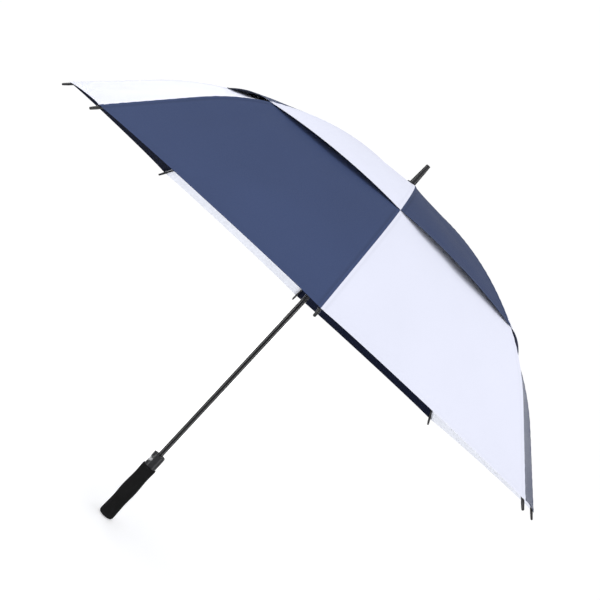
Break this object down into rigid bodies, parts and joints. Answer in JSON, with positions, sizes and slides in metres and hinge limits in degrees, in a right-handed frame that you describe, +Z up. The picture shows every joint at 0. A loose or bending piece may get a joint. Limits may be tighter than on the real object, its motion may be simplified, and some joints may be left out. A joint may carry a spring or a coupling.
{
  "type": "golf umbrella",
  "caption": "Open golf umbrella with a vented double canopy on hinged ribs, a sliding runner on a straight shaft, a waisted foam grip and a thumb release button.",
  "frame": {"origin": "centre of the butt of the grip, on the shaft's axis", "axes": "+Z up the shaft towards the ferrule; rib 1 points along -Y and the ribs count towards +X; the release button faces -X"},
  "size_m": [1.3622, 1.3622, 1.008],
  "materials": {
    "shaft_steel": "gloss black enamel",
    "black_plastic": "satin moulded black",
    "tip_plastic": "satin moulded black",
    "wire": "drawn wire",
    "slider_steel": "turned",
    "fibreglass": "pulled glass-fibre rod, black",
    "stretcher_steel": "black enamel",
    "white_cloth": "plain woven, water-repellent",
    "navy_cloth": "plain woven, water-repellent",
    "grip_foam": "matt closed-cell foam",
    "button_plastic": "silver, gloss"
  },
  "bodies": {
    "frame": {"shaft": "shaft_steel", "ferrule": "black_plastic", "crown": "black_plastic", "crown_wire": "wire", "opening_spring": "wire", "handle_core": "black_plastic", "foam_grip": "grip_foam", "button_spring": "wire"},
    "rib_1": {"rib_inner_1": "fibreglass", "vent_gore_1": "navy_cloth"},
    "rib_end_1": {"rib_outer_1": "fibreglass", "rib_tip_1": "tip_plastic", "lower_gore_1": "white_cloth"},
    "stretcher_1": {"stretcher_1": "stretcher_steel"},
    "rib_2": {"rib_inner_2": "fibreglass", "vent_gore_2": "white_cloth"},
    "rib_end_2": {"rib_outer_2": "fibreglass", "rib_tip_2": "tip_plastic", "lower_gore_2": "navy_cloth"},
    "stretcher_2": {"stretcher_2": "stretcher_steel"},
    "rib_3": {"rib_inner_3": "fibreglass", "vent_gore_3": "navy_cloth"},
    "rib_end_3": {"rib_outer_3": "fibreglass", "rib_tip_3": "tip_plastic", "lower_gore_3": "white_cloth"},
    "stretcher_3": {"stretcher_3": "stretcher_steel"},
    "rib_4": {"rib_inner_4": "fibreglass", "vent_gore_4": "white_cloth"},
    "rib_end_4": {"rib_outer_4": "fibreglass", "rib_tip_4": "tip_plastic", "lower_gore_4": "navy_cloth"},
    "stretcher_4": {"stretcher_4": "stretcher_steel"},
    "rib_5": {"rib_inner_5": "fibreglass", "vent_gore_5": "navy_cloth"},
    "rib_end_5": {"rib_outer_5": "fibreglass", "rib_tip_5": "tip_plastic", "lower_gore_5": "white_cloth"},
    "stretcher_5": {"stretcher_5": "stretcher_steel"},
    "rib_6": {"rib_inner_6": "fibreglass", "vent_gore_6": "white_cloth"},
    "rib_end_6": {"rib_outer_6": "fibreglass", "rib_tip_6": "tip_plastic", "lower_gore_6": "navy_cloth"},
    "stretcher_6": {"stretcher_6": "stretcher_steel"},
    "rib_7": {"rib_inner_7": "fibreglass", "vent_gore_7": "navy_cloth"},
    "rib_end_7": {"rib_outer_7": "fibreglass", "rib_tip_7": "tip_plastic", "lower_gore_7": "white_cloth"},
    "stretcher_7": {"stretcher_7": "stretcher_steel"},
    "rib_8": {"rib_inner_8": "fibreglass", "vent_gore_8": "white_cloth"},
    "rib_end_8": {"rib_outer_8": "fibreglass", "rib_tip_8": "tip_plastic", "lower_gore_8": "navy_cloth"},
    "stretcher_8": {"stretcher_8": "stretcher_steel"},
    "runner": {"runner": "black_plastic", "runner_wire": "wire", "spring_slider": "slider_steel"},
    "button": {"release_button": "button_plastic"}
  },
  "joints": [
    {"name": "fold_1", "type": "hinge", "parent": "frame", "child": "rib_1", "pos_m": [0, -0.0115, 0.93518], "axis": [1, 0, 0], "range_deg": [0, 72], "stiffness_Nm_per_rad": 2, "springref_deg": -91.67, "deforming": ["vent_gore_1", "vent_gore_2", "vent_gore_3", "vent_gore_4", "vent_gore_5", "vent_gore_6", "vent_gore_7", "vent_gore_8", "lower_gore_1", "lower_gore_2", "lower_gore_3", "lower_gore_4", "lower_gore_5", "lower_gore_6", "lower_gore_7", "lower_gore_8", "opening_spring"]},
    {"name": "flex_1", "type": "hinge", "parent": "rib_1", "child": "rib_end_1", "pos_m": [0, -0.42162, 0.83148], "axis": [1, 0, 0], "range_deg": [-22.2, 0.2]},
    {"name": "swing_1", "type": "hinge", "parent": "rib_1", "child": "stretcher_1", "pos_m": [0, -0.33958, 0.86145], "axis": [1, 0, 0], "range_deg": [-145, 1]},
    {"name": "fold_2", "type": "hinge", "parent": "frame", "child": "rib_2", "pos_m": [0.00813, -0.00813, 0.93518], "axis": [0.7071, 0.7071, 0], "range_deg": [-0.5, 72.5]},
    {"name": "flex_2", "type": "hinge", "parent": "rib_2", "child": "rib_end_2", "pos_m": [0.29813, -0.29813, 0.83148], "axis": [0.7071, 0.7071, 0], "range_deg": [-22.2, 0.2]},
    {"name": "swing_2", "type": "hinge", "parent": "rib_2", "child": "stretcher_2", "pos_m": [0.24012, -0.24012, 0.86145], "axis": [0.7071, 0.7071, 0], "range_deg": [-145, 1]},
    {"name": "fold_3", "type": "hinge", "parent": "frame", "child": "rib_3", "pos_m": [0.0115, 0, 0.93518], "axis": [0, 1, 0], "range_deg": [-0.5, 72.5]},
    {"name": "flex_3", "type": "hinge", "parent": "rib_3", "child": "rib_end_3", "pos_m": [0.42162, 0, 0.83148], "axis": [0, 1, 0], "range_deg": [-22.2, 0.2]},
    {"name": "swing_3", "type": "hinge", "parent": "rib_3", "child": "stretcher_3", "pos_m": [0.33958, 0, 0.86145], "axis": [0, 1, 0], "range_deg": [-145, 1]},
    {"name": "fold_4", "type": "hinge", "parent": "frame", "child": "rib_4", "pos_m": [0.00813, 0.00813, 0.93518], "axis": [-0.7071, 0.7071, 0], "range_deg": [-0.5, 72.5]},
    {"name": "flex_4", "type": "hinge", "parent": "rib_4", "child": "rib_end_4", "pos_m": [0.29813, 0.29813, 0.83148], "axis": [-0.7071, 0.7071, 0], "range_deg": [-22.2, 0.2]},
    {"name": "swing_4", "type": "hinge", "parent": "rib_4", "child": "stretcher_4", "pos_m": [0.24012, 0.24012, 0.86145], "axis": [-0.7071, 0.7071, 0], "range_deg": [-145, 1]},
    {"name": "fold_5", "type": "hinge", "parent": "frame", "child": "rib_5", "pos_m": [0, 0.0115, 0.93518], "axis": [-1, 0, 0], "range_deg": [-0.5, 72.5]},
    {"name": "flex_5", "type": "hinge", "parent": "rib_5", "child": "rib_end_5", "pos_m": [0, 0.42162, 0.83148], "axis": [-1, 0, 0], "range_deg": [-22.2, 0.2]},
    {"name": "swing_5", "type": "hinge", "parent": "rib_5", "child": "stretcher_5", "pos_m": [0, 0.33958, 0.86145], "axis": [-1, 0, 0], "range_deg": [-145, 1]},
    {"name": "fold_6", "type": "hinge", "parent": "frame", "child": "rib_6", "pos_m": [-0.00813, 0.00813, 0.93518], "axis": [-0.7071, -0.7071, 0], "range_deg": [-0.5, 72.5]},
    {"name": "flex_6", "type": "hinge", "parent": "rib_6", "child": "rib_end_6", "pos_m": [-0.29813, 0.29813, 0.83148], "axis": [-0.7071, -0.7071, 0], "range_deg": [-22.2, 0.2]},
    {"name": "swing_6", "type": "hinge", "parent": "rib_6", "child": "stretcher_6", "pos_m": [-0.24012, 0.24012, 0.86145], "axis": [-0.7071, -0.7071, 0], "range_deg": [-145, 1]},
    {"name": "fold_7", "type": "hinge", "parent": "frame", "child": "rib_7", "pos_m": [-0.0115, 0, 0.93518], "axis": [0, -1, 0], "range_deg": [-0.5, 72.5]},
    {"name": "flex_7", "type": "hinge", "parent": "rib_7", "child": "rib_end_7", "pos_m": [-0.42162, 0, 0.83148], "axis": [0, -1, 0], "range_deg": [-22.2, 0.2]},
    {"name": "swing_7", "type": "hinge", "parent": "rib_7", "child": "stretcher_7", "pos_m": [-0.33958, 0, 0.86145], "axis": [0, -1, 0], "range_deg": [-145, 1]},
    {"name": "fold_8", "type": "hinge", "parent": "frame", "child": "rib_8", "pos_m": [-0.00813, -0.00813, 0.93518], "axis": [0.7071, -0.7071, 0], "range_deg": [-0.5, 72.5]},
    {"name": "flex_8", "type": "hinge", "parent": "rib_8", "child": "rib_end_8", "pos_m": [-0.29813, -0.29813, 0.83148], "axis": [0.7071, -0.7071, 0], "range_deg": [-22.2, 0.2]},
    {"name": "swing_8", "type": "hinge", "parent": "rib_8", "child": "stretcher_8", "pos_m": [-0.24012, -0.24012, 0.86145], "axis": [0.7071, -0.7071, 0], "range_deg": [-145, 1]},
    {"name": "runner_turn", "type": "hinge", "parent": "stretcher_1", "child": "runner", "pos_m": [0, -0.0115, 0.78773], "axis": [1, 0, 0], "range_deg": [-0.5, 72.5]},
    {"name": "button_press", "type": "slide", "parent": "frame", "child": "button", "axis": [1, 0, 0], "range_m": [0, 0.0014], "stiffness_N_per_m": 800, "springref_m": -0.002, "deforming": ["button_spring"]}
  ],
  "couplings": [
    {"joint": "flex_1", "follows": "fold_1", "ratio": -0.30556},
    {"joint": "swing_1", "follows": "fold_1", "ratio": -2},
    {"joint": "fold_2", "follows": "fold_1", "ratio": 1},
    {"joint": "flex_2", "follows": "fold_1", "ratio": -0.30556},
    {"joint": "swing_2", "follows": "fold_1", "ratio": -2},
    {"joint": "fold_3", "follows": "fold_1", "ratio": 1},
    {"joint": "flex_3", "follows": "fold_1", "ratio": -0.30556},
    {"joint": "swing_3", "follows": "fold_1", "ratio": -2},
    {"joint": "fold_4", "follows": "fold_1", "ratio": 1},
    {"joint": "flex_4", "follows": "fold_1", "ratio": -0.30556},
    {"joint": "swing_4", "follows": "fold_1", "ratio": -2},
    {"joint": "fold_5", "follows": "fold_1", "ratio": 1},
    {"joint": "flex_5", "follows": "fold_1", "ratio": -0.30556},
    {"joint": "swing_5", "follows": "fold_1", "ratio": -2},
    {"joint": "fold_6", "follows": "fold_1", "ratio": 1},
    {"joint": "flex_6", "follows": "fold_1", "ratio": -0.30556},
    {"joint": "swing_6", "follows": "fold_1", "ratio": -2},
    {"joint": "fold_7", "follows": "fold_1", "ratio": 1},
    {"joint": "flex_7", "follows": "fold_1", "ratio": -0.30556},
    {"joint": "swing_7", "follows": "fold_1", "ratio": -2},
    {"joint": "fold_8", "follows": "fold_1", "ratio": 1},
    {"joint": "flex_8", "follows": "fold_1", "ratio": -0.30556},
    {"joint": "swing_8", "follows": "fold_1", "ratio": -2},
    {"joint": "runner_turn", "follows": "fold_1", "ratio": 1}
  ]
}
